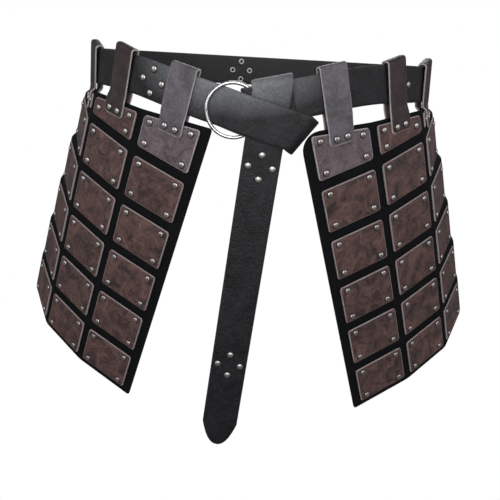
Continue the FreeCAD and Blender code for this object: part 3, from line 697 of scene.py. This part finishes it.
SHEET_SPAN = PLATE_WIDTH * COLUMNS + COLUMN_GAP * 2 + SIDE_MARGIN * 2
FRONT_REACH = HALF_PLATE + SIDE_MARGIN
SHEET_FOOT = row_middle(ROWS - 1) - PLATE_HEIGHT / 2 - FOOT_MARGIN


def sheet_section(length, rear_bend):
    """Point and angle on the section, by length from the rear edge."""
    from_front = SHEET_SPAN - length - FRONT_REACH
    if from_front > 0:
        return along_section(from_front, rear_bend)
    return Vector((-from_front, 0, 0)), 0.0


def on_sheet(length, height):
    """Place on the left backing's middle layer, by length from its rear edge."""
    place, turn = sheet_section(length, rear_bend_at(height))
    place = place + Vector((math.sin(turn), 0, -math.cos(turn))) * (BACKING_THICK / 2)
    place.y = height
    return SHEET @ place


def corner_inset(gap, radius):
    """How far a rounded corner draws a border in, by the distance from the end."""
    if gap >= radius:
        return 0.0
    return radius - math.sqrt(max(radius ** 2 - (radius - gap) ** 2, 0))


def ends_inset(length, start, end, radius):
    """How far two rounded ends draw the borders in."""
    return corner_inset(length - start, radius) + corner_inset(end - length, radius)


def sheet_widths(length, front_corner):
    """The sheet's foot and its top edge under both slopes."""
    place = sheet_section(length, REAR_BENDS[0])[0]
    height, slope = top_edge(COLUMNS - 1)
    rear_plate = column_frame(COLUMNS - 1, 0).inverted()
    local = rear_plate @ Vector((place.x, row_middle(0), place.z))
    top = min(TOP_HEIGHT + TOP_SLOPE * place.x, height + slope * local.x)
    front = SHEET_SPAN - length
    top -= corner_inset(length, SHARP_CORNER) + corner_inset(front, front_corner)
    foot = SHEET_FOOT + corner_inset(length, FOOT_CORNER) + corner_inset(front, SHARP_CORNER)
    return foot, top


def mirrored(point):
    """The same point or way on the other side."""
    return Vector((-point.x, point.y, point.z))


def on_right(place, widths):
    """The same strip's functions on the right, its outer face still outwards."""
    def right_widths(length):
        start, end = widths(length)
        return -end, -start
    return lambda length, across: mirrored(place(length, -across)), right_widths


# Matt black leather: a flat black that lets the plates stand out, dark grey on its back
backing_leather = leather("matt black leather", "#060709", "#0a0b0e", "#101114", "#1b1b1f",
                          0.8, 0.35, shine=0.12)
SIDES = (("left", -1), ("right", 1))
SHEET_STEP = 3.0
END_GAPS = [0, 0.3, 0.8, 1.6, 3, 4.5, 6.5, 9, 12, 16, KNOT_CORNER]
sheet_stations = with_ends(0, SHEET_SPAN, END_GAPS, SHEET_STEP)
for side_name, side in SIDES:
    place, widths = on_sheet, lambda length: sheet_widths(length, SHARP_CORNER)
    if side > 0:
        place, widths = on_right(on_sheet, lambda length: sheet_widths(length, KNOT_CORNER))
    sheet = strip("%s_backing" % side_name, place, sheet_stations, widths, BACKING_THICK,
                  across=110)
    sheet.data.materials.append(backing_leather)
    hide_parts("%s_backing" % side_name)
    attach(sheet, "%s_tasset" % side_name)


# Plates. Thick brown leather, waxed, slightly domed, its cut rims bevelled, worn pale and painted
# paler as a highlight.
# Each is a strip in its own frame on the sheet, and the top row follows the sloped top edge.
HEAD_MARGIN = 4.0
SHORT_END = 5.0
PLATE_CORNER = 3.0
SHORT_CORNER = 2.0
SHORT_PLATE = 12.0          # ends lower than this have the small corner
PLATE_EDGE = 0.36
PLATE_STEP = 5.0
DOME_RISE = 0.35
DOME_REACH = 24.0
PLATE_GAPS = [0, 0.1, 0.3, 0.6, 1.0, 1.6, 2.3, PLATE_CORNER]


def plate_corners(column, row):
    """Rear end, foot, front top and rear top of a plate about its row's middle."""
    foot, top = -PLATE_HEIGHT / 2, PLATE_HEIGHT / 2
    if row:
        return -HALF_PLATE, foot, top, top
    height, slope = top_edge(column)
    height -= HEAD_MARGIN + row_middle(row)
    rear = max(-HALF_PLATE, (foot + SHORT_END - height) / slope)
    return rear, foot, min(top, height + slope * HALF_PLATE), height + slope * rear


def dome(length, height):
    """How far a plate's face stands up over its flat."""
    over_width = max(0, 1 - (length / HALF_PLATE) ** 2)
    return DOME_RISE * over_width * max(0, 1 - (height / DOME_REACH) ** 2)


# Waxed brown leather: reddish dark brown, clouded, with a low gloss. The plates next to the
# belt's front are painted greyer, standing in for the sheen of the lamp in front.
WAX_PATCH = 14.88095
plate_leather = leather("waxed brown leather", "#2d2121", "#5b413d", "#93898a", "#2a2322",
                        0.45, 0.75, patch=WAX_PATCH)
sheen_painted_leather = leather("waxed brown leather with painted sheen", "#43383c", "#62575c", "#a29a9a",
                          "#2a2322", 0.45, 0.8, patch=WAX_PATCH)
for side_name, side in SIDES:
    for column in range(COLUMNS):
        for row in range(ROWS):
            rear, foot, front_top, rear_top = plate_corners(column, row)
            corner = PLATE_CORNER if rear_top - foot > SHORT_PLATE else SHORT_CORNER
            spot = SHEET @ column_frame(column, row)

            def on_plate(length, height, spot=spot):
                return spot @ Vector((length, height, PLATE_THICK / 2))

            def plate_widths(length, rear=rear, foot=foot, front_top=front_top,
                             rear_top=rear_top, corner=corner):
                share = (length - rear) / (HALF_PLATE - rear)
                inset = ends_inset(length, rear, HALF_PLATE, corner)
                return foot + inset, rear_top + (front_top - rear_top) * share - inset

            stations = with_ends(rear, HALF_PLATE, PLATE_GAPS, PLATE_STEP)
            place, widths = on_plate, plate_widths
            if side > 0:
                place, widths = on_right(on_plate, plate_widths)
            name = "%s_plate_%d_%d" % (side_name, column + 1, row + 1)
            plate = strip(name + "_leather", place, stations, widths, PLATE_THICK,
                          edge=PLATE_EDGE, across=8, lift=dome)
            # The front top plate gets the leather with painted sheen
            has_painted_sheen = (column, row) == (0, 0)
            plate.data.materials.append(sheen_painted_leather if has_painted_sheen else plate_leather)
            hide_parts(name)
            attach(plate, "%s_tasset" % side_name)


# Hangers. Brown strap leather with pale cut edges, each looped over the belt's top edge and
# riveted to the sheet and its top plate. A strip that starts behind the sheet, goes up and
# over the belt, and ends on the plate.
HANGER_WIDTH = 28.0
HANGER_THICK = 2.2
HANGER_OVERLAPS = (15.5, 15.5, 20.5)
HANGER_TURN = math.radians(5)
HANGER_SLACK = 0.8
HANGER_SAG = 0.8            # more room behind the belt, which curves there
HANGER_RISE = 0.6
HANGER_CORNER = 5.0
HANGER_STEP = 1.2
MOST_SKEW = 4.0
CROSSING_ROUNDS = 8
SEARCH_STEP = 0.5
EASING_ROUNDS = 3
HANGER_GAPS = [0.3, 0.7, 1.3, 2.2, 3.4, HANGER_CORNER]


def belt_beside(x, side):
    """Belt height and slope at x on the left. The right side's belt is given mirrored."""
    if side < 0:
        return belt_height(x)
    height, slope = belt_height(-x)
    return height, -slope


def hanger_frame(column):
    """On the backing's outer face at the top edge, Y up the strap."""
    spot = SHEET @ column_frame(column, 0)
    origin = spot @ Vector((0, top_edge(column)[0] - row_middle(0), 0))
    turn = spot.to_3x3() @ Matrix.Rotation(HANGER_TURN, 3, "Z")
    return placed(origin, turn.col[0].copy(), turn.col[1].copy())


def belt_crossing(lower, side):
    """Where a hanger crosses the belt: frame at its lower edge, way up it, and skew."""
    origin, up = lower.translation, lower.col[1].to_3d()
    spot = origin.copy()
    for _ in range(CROSSING_ROUNDS):
        height = belt_beside(spot.x, side)[0]
        spot = origin + up * ((height - origin.z) / up.z)
    flat = Vector((spot.x, spot.y, 0))
    lengths = spaced(0, -HALF_LOOP, SEARCH_STEP)
    point, out = loop_at(min(lengths, key=lambda length: (loop_at(length)[0] - flat).length))
    point.z = belt_beside(point.x, side)[0]
    rising = (up - out * up.dot(out)).normalized()
    reaches = []
    for sign in (1, -1):
        reach = HALF_BELT
        for _ in range(CROSSING_ROUNDS):
            height, slope = belt_beside((point + rising * reach * sign).x, side)
            border = height + sign * HALF_BELT * math.sqrt(1 + slope ** 2)
            reach = (border - point.z) / rising.z * sign
        reaches.append(reach)
    beside = Z.cross(out)
    slant = abs(math.atan(slope * beside.x) - math.atan2(rising.dot(beside), rising.z))
    foot = placed(point - rising * reaches[1], out, rising)
    return foot, sum(reaches), math.tan(slant) * HANGER_WIDTH / 2


def hanger_pairs(column, side):
    """Both borders of a left hanger, as pairs of points along its way, bends eased."""
    lower = hanger_frame(column)
    upper, reach, skew = belt_crossing(lower, side)
    half, thick = HANGER_WIDTH / 2, HANGER_THICK / 2
    skew = min(skew, MOST_SKEW)
    overlap = HANGER_OVERLAPS[column]
    top = reach + skew + HANGER_SLACK + thick
    front = HANGER_SLACK + thick
    back = -BELT_THICK - HANGER_SLACK - thick - HANGER_SAG
    inner, outer = -BACKING_THICK - thick, PLATE_THICK + thick
    pairs = [[lower @ Vector((t, y, inner)) for t in (-half, half)]
             for y in (-overlap, HANGER_RISE)]
    for y, depth in ((-skew, back), (top, back), (top, front), (-skew, front)):
        pairs.append([upper @ Vector((depth, y, -t)) for t in (-half, half)])
    pairs += [[lower @ Vector((t, y, outer)) for t in (-half, half)]
              for y in (HANGER_RISE, -overlap)]
    fine = [pairs[0]]
    for first, after in zip(pairs, pairs[1:]):
        middle = ((first[0] + first[1]) - (after[0] + after[1])).length / 2
        count = max(2, round(middle / HANGER_STEP))
        for i in range(1, count + 1):
            fine.append([a.lerp(b, i / count) for a, b in zip(first, after)])
    for _ in range(EASING_ROUNDS):
        eased = [fine[0]]
        for last, here, after in zip(fine, fine[1:], fine[2:]):
            eased.append([(a + b * 2 + c) / 4 for a, b, c in zip(last, here, after)])
        fine = eased + [fine[-1]]
    return fine


# Strap leather: dark brown and nearly matt, its cut edges left pale. The first hangers are
# painted greyer like the plates below them, standing in for the lamp's sheen.
hanger_leathers = (
    leather("brown strap leather with painted sheen", "#403c41", "#57535a", "#8d8a8c", "#4a403e",
            0.5, 1.0),
    leather("brown strap leather", "#1e1415", "#362628", "#8c8583", "#4a403e", 0.5, 1.0))
for side_name, side in SIDES:
    for column in range(COLUMNS):
        pairs = hanger_pairs(column, side)
        lengths = [0.0]
        for first, after in zip(pairs, pairs[1:]):
            step = ((after[0] + after[1]) - (first[0] + first[1])).length / 2
            lengths.append(lengths[-1] + step)
        total = lengths[-1]

        def on_hanger(length, across, pairs=pairs, lengths=lengths):
            length = min(max(length, 0.0), lengths[-1])
            i = 0
            while i < len(lengths) - 2 and lengths[i + 1] < length:
                i += 1
            share = (length - lengths[i]) / (lengths[i + 1] - lengths[i])
            start = pairs[i][0].lerp(pairs[i + 1][0], share)
            end = pairs[i][1].lerp(pairs[i + 1][1], share)
            return start.lerp(end, across / HANGER_WIDTH + 0.5)

        def hanger_widths(length, total=total):
            inset = ends_inset(length, 0, total, HANGER_CORNER)
            return inset - HANGER_WIDTH / 2, HANGER_WIDTH / 2 - inset

        stations = with_ends(0, total, HANGER_GAPS, HANGER_STEP)
        place, widths = on_hanger, hanger_widths
        if side > 0:
            place, widths = on_right(on_hanger, hanger_widths)
        name = "%s_hanger_%d" % (side_name, column + 1)
        hanger = strip(name + "_strap", place, stations, widths, HANGER_THICK)
        # The first hangers get the strap leather with painted sheen
        hanger.data.materials.append(hanger_leathers[min(column, 1)])
        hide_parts(name)
        top = place(total / 2, 0)
        foot = hanger_frame(column).translation
        if side > 0:
            foot = mirrored(foot)
        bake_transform(hanger)


# Rivets of the tassets. Two-part tubular rivets of antiqued nickel: a domed cap before the
# leather and the tube's rolled end behind it. Geometry Nodes set them at points that carry
# the way each one faces, with a dark disc of painted shade round each cap and in each tube.
RIVET_HEAD = 6.4
RIVET_DOME = 1.7
DOME_LIP = 0.25             # share of the dome's height that its rim stands up
DOME_STEPS = 7
RIVET_STEPS = 20
SHANK_HALF = 2.0
HOLE_HALF = 1.8
AXIS = 0.01                 # a pole stays this little open
SHADE_DISC_HALF = 3.9
SHADE_DISC_RISE = 0.1
RIVET_X = 23.7
RIVET_Y = 17.4
RIVET_INSET = 6.2
ROOM_FOR_TWO = 1.5 * RIVET_HEAD
HANGER_RIVET_HALF = 6.2
HANGER_RIVET_DROP = 9.0

# Antiqued nickel: pale, with brownish clouds and a soft point of light on each dome. A near
# black material paints the shade round each cap and in each tube's hole.
nickel = metal("antiqued nickel", "#dcd7d4", 0.38, "#8a8481")
# Painted shade: a matt near-black for the discs round caps and in tube holes
rivet_shade = bpy.data.materials.new("painted shade round rivets")
rivet_shade.use_nodes = True
shader = rivet_shade.node_tree.nodes["Principled BSDF"]
shader.inputs["Base Color"].default_value = colour("#0c0a0a")
shader.inputs["Roughness"].default_value = 0.8


def cap_profile(grip):
    """Half section of a rivet through leather of a given thickness, from back to front."""
    head = RIVET_HEAD / 2
    dome_points = []
    for i in range(DOME_STEPS + 1):
        angle = math.pi / 2 * i / DOME_STEPS
        height = RIVET_DOME * (DOME_LIP + (1 - DOME_LIP) * math.cos(angle))
        dome_points.append((max(head * math.sin(angle), AXIS), height))
    rolled_end = [(HOLE_HALF, 0.1), (HOLE_HALF, -0.2), (2.1, -0.6), (2.7, -0.78),
                  (3.3, -0.6), (3.7, -0.25), (3.8, 0.02), (SHANK_HALF, 0.02)]
    tube = [(radius, height - grip) for radius, height in rolled_end]
    return tube + [(SHANK_HALF, 0), (head, 0)] + dome_points[::-1]


def shade_disc_profile(grip):
    """Painted shade: a dark disc round a cap, and a dark plug in the tube's hole behind."""
    hole = HOLE_HALF + 0.1
    return [(AXIS, -grip - 0.12), (hole, -grip - 0.12), (hole, 0.02), (SHADE_DISC_HALF, 0.02),
            (SHADE_DISC_HALF, SHADE_DISC_RISE), (AXIS, 0.12)]


def scattered(name, spots, profile, material, body, replaced):
    """One object of many turned pieces, each at a point and facing along a vector."""
    original = turned(name + "_one", profile, RIVET_STEPS, False)
    points = bpy.data.meshes.new(name + "_points")
    points.from_pydata([spot * MM for spot, _ in spots], [], [])
    facing = points.attributes.new("facing", "FLOAT_VECTOR", "POINT")
    facing.data.foreach_set("vector", [v for _, out in spots for v in out])
    holder = added(name + "_holder", points)
    tree = bpy.data.node_groups.new(name, "GeometryNodeTree")
    tree.interface.new_socket("Points", in_out="INPUT", socket_type="NodeSocketGeometry")
    piece = tree.interface.new_socket("Piece", in_out="INPUT", socket_type="NodeSocketObject")
    tree.interface.new_socket("Geometry", in_out="OUTPUT", socket_type="NodeSocketGeometry")
    start = node(tree, "NodeGroupInput")
    info = node(tree, "GeometryNodeObjectInfo", {"Object": start.outputs["Piece"]})
    way = node(tree, "GeometryNodeInputNamedAttribute", {"Name": "facing"},
               data_type="FLOAT_VECTOR")
    aim = node(tree, "FunctionNodeAlignRotationToVector", {"Vector": way}, axis="Z")
    many = node(tree, "GeometryNodeInstanceOnPoints", {
        "Points": start.outputs["Points"], "Instance": info.outputs["Geometry"],
        "Rotation": aim})
    real = node(tree, "GeometryNodeRealizeInstances", {"Geometry": many})
    painted = node(tree, "GeometryNodeSetMaterial", {"Geometry": real, "Material": material})
    node(tree, "NodeGroupOutput", {"Geometry": painted})
    modifier = holder.modifiers.new("pieces", "NODES")
    modifier.node_group = tree
    modifier[piece.identifier] = original
    bpy.context.view_layer.update()
    ready = holder.evaluated_get(bpy.context.evaluated_depsgraph_get())
    rivets = added(name, bpy.data.meshes.new_from_object(ready))
    bpy.data.objects.remove(holder)
    bpy.data.objects.remove(original)
    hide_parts(*replaced)
    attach(rivets, body)


def riveted(name, spots, grip, body, replaced):
    """The caps of some rivets, and dark discs of painted shade round and behind them."""
    scattered(name + "_caps", spots, cap_profile(grip), nickel, body, replaced)
    scattered(name + "_seats", spots, shade_disc_profile(grip), rivet_shade, body, [])


def plate_spots():
    """Rivets of the left plates: points on their faces, and outward vectors."""
    spots = []
    for column in range(COLUMNS):
        for row in range(ROWS):
            rear, _, front_top, rear_top = plate_corners(column, row)
            spot = SHEET @ column_frame(column, row)
            slope = (front_top - rear_top) / (HALF_PLATE - rear)
            for x in (-RIVET_X, RIVET_X):
                if x < rear:
                    continue
                upper = front_top - slope * (HALF_PLATE - x) - RIVET_INSET
                two = upper > ROOM_FOR_TWO - RIVET_Y
                heights = [-RIVET_Y, upper] if two else [(upper - RIVET_Y) / 2]
                for y in heights:
                    face = spot @ Vector((x, y, PLATE_THICK + SHADE_DISC_RISE))
                    spots.append((face, spot.col[2].to_3d()))
    return spots


def hanger_spots():
    """The pair of rivets on each left hanger."""
    spots = []
    for column in range(COLUMNS):
        lower = hanger_frame(column)
        for x in (-HANGER_RIVET_HALF, HANGER_RIVET_HALF):
            place = lower @ Vector((x, -HANGER_RIVET_DROP, PLATE_THICK + HANGER_THICK))
            spots.append((place, lower.col[2].to_3d()))
    return spots


PLATE_GRIP = PLATE_THICK + BACKING_THICK
for side_name, side in SIDES:
    for label, spots, grip in (
            ("plate_rivets", plate_spots(), PLATE_GRIP),
            ("hanger_rivets", hanger_spots(), PLATE_GRIP + 2 * HANGER_THICK)):
        if side > 0:
            spots = [(mirrored(point), mirrored(out)) for point, out in spots]
        name = "%s_%s" % (side_name, label)
        riveted(name, spots, grip, "%s_tasset" % side_name, [name])


# Belt rivets. The same rivets in diamonds of four round the belt, a single one on the right,
# and two that close the ring's eye through both layers.
DIAMOND_HALF = 11.7
FIRST_DIAMOND = 106.5
DIAMOND_PITCH = 210.0
LOOP_DIAMONDS = 4
LONE_RIVET_AT = 171.0
EYE_RIVET_AT = 45.0
EYE_RIVET_HALF = 9.0


def diamond(x, y):
    """Four points round a middle, the first of them given."""
    return ((x, y), (-y, x), (-x, -y), (y, -x))


def loop_spot(length, height):
    """Point on the belt's outer face and the way out."""
    point, out = loop_at(length)
    return Vector((point.x, point.y, height)), out


belt_spots = []
for i in range(LOOP_DIAMONDS):
    middle = -FIRST_DIAMOND - i * DIAMOND_PITCH
    point, out = loop_at(middle)
    height, slope = belt_height(point.x, point.y)
    flat = Vector((1, slope * Z.cross(out).x, 0)).normalized() * DIAMOND_HALF
    belt_spots += [loop_spot(middle + along, height + up) for along, up in diamond(flat.x, flat.y)]
belt_spots.append(loop_spot(LONE_RIVET_AT, 0))
riveted("belt", belt_spots, BELT_THICK, "belt", ["belt_rivets"])
eye_spots = []
for across in (-EYE_RIVET_HALF, EYE_RIVET_HALF):
    along = heading(RIGHT_DIP) * EYE_RIVET_AT
    place = RING_CENTRE + along + heading(math.pi / 2 + RIGHT_DIP) * across
    place.y = SEAM_Y - BELT_THICK / 2
    eye_spots.append((place, -Y))
scattered("eye_caps", eye_spots, cap_profile(2 * BELT_THICK), nickel, "belt", [])


# Tail rivets. Two more diamonds of the same rivets, near the knot and towards the point.
TAIL_DIAMONDS = (15.0, 225.0)
tail_spots = []
for distance in TAIL_DIAMONDS:
    for along, over in diamond(DIAMOND_HALF, 0):
        tail_spots.append((on_tail(distance + along, over) - Y * (BELT_THICK / 2), -Y))
riveted("tail", tail_spots, BELT_THICK, "tail", ["tail_rivets"])


# Camera. At the photograph's angle, 17 degrees above level, with a slight roll.
CAMERA = Vector((5.2, -754.5, 18.0))
PITCH = math.radians(17)
ROLL = math.radians(3.26)
YAW = math.radians(-0.42)
LENS = 45.36
SENSOR = 36
level = Vector((math.cos(YAW), -math.sin(YAW), 0))
ahead = Vector((math.sin(YAW), math.cos(YAW), 0))
forward = ahead * math.cos(PITCH) - Z * math.sin(PITCH)
upward = ahead * math.sin(PITCH) + Z * math.cos(PITCH)
right = level * math.cos(ROLL) + upward * math.sin(ROLL)
above = upward * math.cos(ROLL) - level * math.sin(ROLL)
camera_data = bpy.data.cameras.new("camera")
camera_data.lens = LENS
camera_data.sensor_width = SENSOR
camera = added("camera", camera_data)
camera_turn = Matrix((right, above, -forward)).transposed().to_4x4()
camera.matrix_world = Matrix.Translation(CAMERA * MM) @ camera_turn
bpy.context.scene.camera = camera


# Floor and backdrop. Plain white paper, far below because the object hangs from the wearer.
# It reads as white to the camera and dim in reflections, so that the metal keeps its bands.
FLOOR_Z = -0.43
FLOOR_HALF = 6.0
white, tree = empty_material("white paper")
paths = node(tree, "ShaderNodeLightPath")
by_camera, by_gloss = paths.outputs["Is Camera Ray"], paths.outputs["Is Glossy Ray"]
seen = node(tree, "ShaderNodeMath", {0: by_camera, 1: by_gloss}, operation="MAXIMUM")
paper = node(tree, "ShaderNodeBsdfDiffuse", {"Color": colour("#e8e8e8")})
bright = node(tree, "ShaderNodeMapRange", {"Value": by_camera, "To Min": 0.15, "To Max": 1.0})
glow = node(tree, "ShaderNodeEmission", {"Color": (1, 1, 1, 1), "Strength": bright})
paper_mix = node(tree, "ShaderNodeMixShader", {0: seen, 1: paper, 2: glow})
node(tree, "ShaderNodeOutputMaterial", {"Surface": paper_mix})
corners = [Vector((x, y, 0)) * FLOOR_HALF + Z * FLOOR_Z
           for x, y in ((-1, -1), (1, -1), (1, 1), (-1, 1))]
floor = shaped("floor", corners, [(0, 1, 2, 3)])
floor.data.materials.append(white)

world = bpy.data.worlds.new("studio")
bpy.context.scene.world = world
world.use_nodes = True
tree = world.node_tree
tree.nodes.clear()
paths = node(tree, "ShaderNodeLightPath")
by_camera, by_gloss = paths.outputs["Is Camera Ray"], paths.outputs["Is Glossy Ray"]
dimmed = node(tree, "ShaderNodeMapRange", {"Value": by_gloss, "To Min": 0.4, "To Max": 0.26})
around = node(tree, "ShaderNodeMapRange", {"Value": by_camera, "To Min": dimmed, "To Max": 1.0})
sky = node(tree, "ShaderNodeBackground", {"Color": (1, 1, 1, 1), "Strength": around})
node(tree, "ShaderNodeOutputWorld", {"Surface": sky})


# Lamps. One soft light in front and above, weak ones at both sides and one behind.
# Each is a square, given by its place, its size and its watts.
LAMPS_AIM = Vector((0, 0, -0.15))
LAMPS = (("key", (-0.06, -1.15, 0.32), 0.8, 10.5), ("left", (-1.2, -0.5, 0.3), 0.7, 3.5),
         ("right", (1.2, -0.5, 0.3), 0.7, 3.5), ("back", (0.2, 1.2, 0.5), 0.9, 8.0))
for label, place, size, watts in LAMPS:
    lamp = bpy.data.lights.new(label, "AREA")
    lamp.size = size
    lamp.energy = watts
    lamp_object = added(label, lamp)
    lamp_object.location = place
    way = LAMPS_AIM - Vector(place)
    lamp_object.rotation_euler = way.to_track_quat("-Z", "Y").to_euler()

bpy.context.scene.view_settings.view_transform = "Standard"
